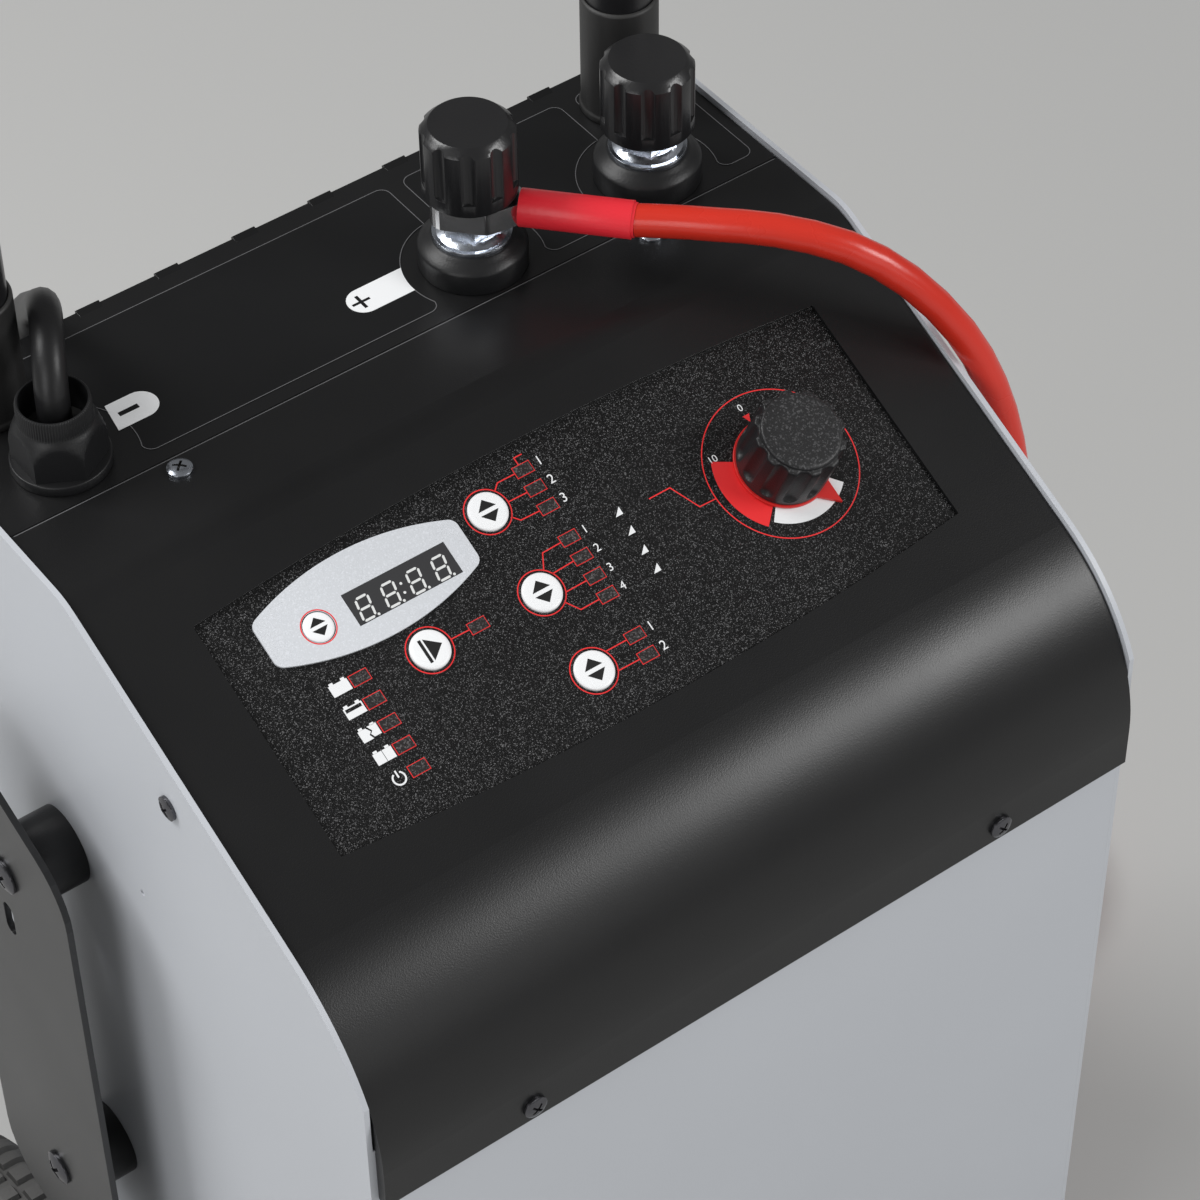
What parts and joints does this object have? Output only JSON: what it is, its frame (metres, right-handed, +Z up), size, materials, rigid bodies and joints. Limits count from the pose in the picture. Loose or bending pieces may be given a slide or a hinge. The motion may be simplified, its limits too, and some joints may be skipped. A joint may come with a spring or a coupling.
{
  "type": "wheeled battery charger and starter",
  "caption": "Upright workshop battery charger with sloping control panel, dial, push buttons, output posts, two clamp leads, side cable cleats, wheels and a handle.",
  "frame": {"origin": "on the floor, below the middle of the machine without its leads", "axes": "+Z up, -Y towards the operator at the control panel, +X to the right side seen from the front"},
  "size_m": [0.566, 0.4904, 0.818],
  "materials": {
    "grey_powder_coat": "fine-textured light grey powder coat",
    "zinc_sheet": "plain zinc-plated sheet",
    "black_powder_coat": "fine-textured black powder coat",
    "zinc_plate": "bright zinc plate",
    "black_screw": "black-oxide steel",
    "panel_film": "matt printed polyester film",
    "badge_silver": "satin silver print",
    "display_dark": "smoked window",
    "module_grey": "moulded display body",
    "button_white": "satin white cap",
    "led_diffuser": "translucent white light pipe",
    "board_green": "green solder mask",
    "pot_steel": "plated can and shaft",
    "knob_black": "fine-grained moulded black",
    "pointer_red": "satin red",
    "black_nylon": "moulded nylon",
    "hand_knob_black": "moulded phenolic",
    "tinned_lug": "tinned copper",
    "sleeve_red": "heat-shrink sleeve",
    "black_rubber": "matt rubber",
    "handle_black": "satin black powder coat",
    "cleat_paint": "dark grey powder coat",
    "tyre_rubber": "moulded tyre",
    "rim_plastic": "moulded rim",
    "core_steel": "varnished laminations",
    "copper_winding": "enamelled wire under tape",
    "heatsink_aluminium": "plain extrusion",
    "fan_black": "moulded fan",
    "lead_red": "soft sheath",
    "lead_black": "soft sheath",
    "clamp_red": "insulated clamp",
    "clamp_black": "insulated clamp"
  },
  "bodies": {
    "cabinet": {"side_panel_left": "grey_powder_coat", "side_panel_right": "grey_powder_coat", "front_panel": "grey_powder_coat", "base_tray": "zinc_sheet", "rear_panel": "grey_powder_coat", "top_plate": "black_powder_coat", "control_cover": "black_powder_coat", "cover_screws": "zinc_plate", "side_screws": "black_screw", "control_overlay": "panel_film", "meter_badge": "badge_silver", "meter_lens": "display_dark", "meter_module": "module_grey", "led_windows": "led_diffuser", "control_board": "board_green", "potentiometer": "pot_steel", "post_insulators": "black_nylon", "post_studs": "zinc_plate", "post_nuts": "zinc_plate", "lead_lug": "tinned_lug", "lug_sleeve": "sleeve_red", "gland_body": "black_nylon", "gland_cap": "black_nylon", "gland_seal": "black_rubber", "handle_tube": "handle_black", "handle_collars": "black_rubber", "handle_grip": "black_rubber", "cleat_plates": "cleat_paint", "cleat_spacers": "black_nylon", "cleat_bolts": "black_screw", "axle": "zinc_plate", "front_feet": "black_rubber", "transformer_core": "core_steel", "transformer_coils": "copper_winding", "rectifier": "heatsink_aluminium", "fan_frame": "fan_black", "fan_guard": "zinc_plate", "mains_gland": "black_nylon", "red_lead": "lead_red", "red_coil": "lead_red", "red_jaw_fixed": "clamp_red", "black_lead": "lead_black", "black_coil": "lead_black", "black_jaw_fixed": "clamp_black"},
    "dial": {"dial_knob": "knob_black", "dial_pointer": "pointer_red"},
    "function_button": {"key_function": "button_white"},
    "capacity_button": {"key_capacity": "button_white"},
    "battery_button": {"key_battery": "button_white"},
    "start_button": {"key_start": "button_white"},
    "meter_button": {"key_meter": "button_white"},
    "wheel_l": {"tyre_left": "tyre_rubber", "rim_left": "rim_plastic"},
    "wheel_r": {"tyre_right": "tyre_rubber", "rim_right": "rim_plastic"},
    "fan": {"fan_rotor": "fan_black"},
    "post_knob_a": {"post_knob_first": "hand_knob_black"},
    "post_knob_b": {"post_knob_second": "hand_knob_black"},
    "red_jaw": {"red_jaw_moving": "clamp_red"},
    "black_jaw": {"black_jaw_moving": "clamp_black"}
  },
  "joints": [
    {"name": "dial_turn", "type": "hinge", "parent": "cabinet", "child": "dial", "pos_m": [0.0818, -0.05244, 0.51119], "axis": [0, -0.4115, 0.9114], "range_deg": [-144, 157]},
    {"name": "function_press", "type": "slide", "parent": "cabinet", "child": "function_button", "axis": [0, 0.4115, -0.9114], "range_m": [0, 0.0008], "stiffness_N_per_m": 1000},
    {"name": "capacity_press", "type": "slide", "parent": "cabinet", "child": "capacity_button", "axis": [0, 0.4115, -0.9114], "range_m": [0, 0.0008], "stiffness_N_per_m": 1000},
    {"name": "battery_press", "type": "slide", "parent": "cabinet", "child": "battery_button", "axis": [0, 0.4115, -0.9114], "range_m": [0, 0.0008], "stiffness_N_per_m": 1000},
    {"name": "start_press", "type": "slide", "parent": "cabinet", "child": "start_button", "axis": [0, 0.4115, -0.9114], "range_m": [0, 0.0008], "stiffness_N_per_m": 1000},
    {"name": "meter_press", "type": "slide", "parent": "cabinet", "child": "meter_button", "axis": [0, 0.4115, -0.9114], "range_m": [0, 0.0008], "stiffness_N_per_m": 1000},
    {"name": "wheel_l_spin", "type": "hinge", "parent": "cabinet", "child": "wheel_l", "pos_m": [-0.1823, 0.07785, 0.08], "axis": [1, 0, 0], "continuous": true},
    {"name": "wheel_r_spin", "type": "hinge", "parent": "cabinet", "child": "wheel_r", "pos_m": [0.1823, 0.07785, 0.08], "axis": [1, 0, 0], "continuous": true},
    {"name": "fan_spin", "type": "hinge", "parent": "cabinet", "child": "fan", "pos_m": [0, 0.11235, 0.2], "axis": [0, 1, 0], "continuous": true},
    {"name": "post_knob_a_turn", "type": "hinge", "parent": "cabinet", "child": "post_knob_a", "pos_m": [0.04, 0.06706, 0.5855], "axis": [0, 0, 1], "continuous": true},
    {"name": "post_knob_b_turn", "type": "hinge", "parent": "cabinet", "child": "post_knob_b", "pos_m": [0.115, 0.06706, 0.5765], "axis": [0, 0, 1], "continuous": true},
    {"name": "red_jaw_open", "type": "hinge", "parent": "cabinet", "child": "red_jaw", "pos_m": [0.31424, 0.28286, 0.013], "axis": [0, 0, 1], "range_deg": [0, 26], "stiffness_Nm_per_rad": 1},
    {"name": "black_jaw_open", "type": "hinge", "parent": "cabinet", "child": "black_jaw", "pos_m": [0.17006, 0.23221, 0.013], "axis": [0, 0, 1], "range_deg": [0, 26], "stiffness_Nm_per_rad": 1}
  ]
}
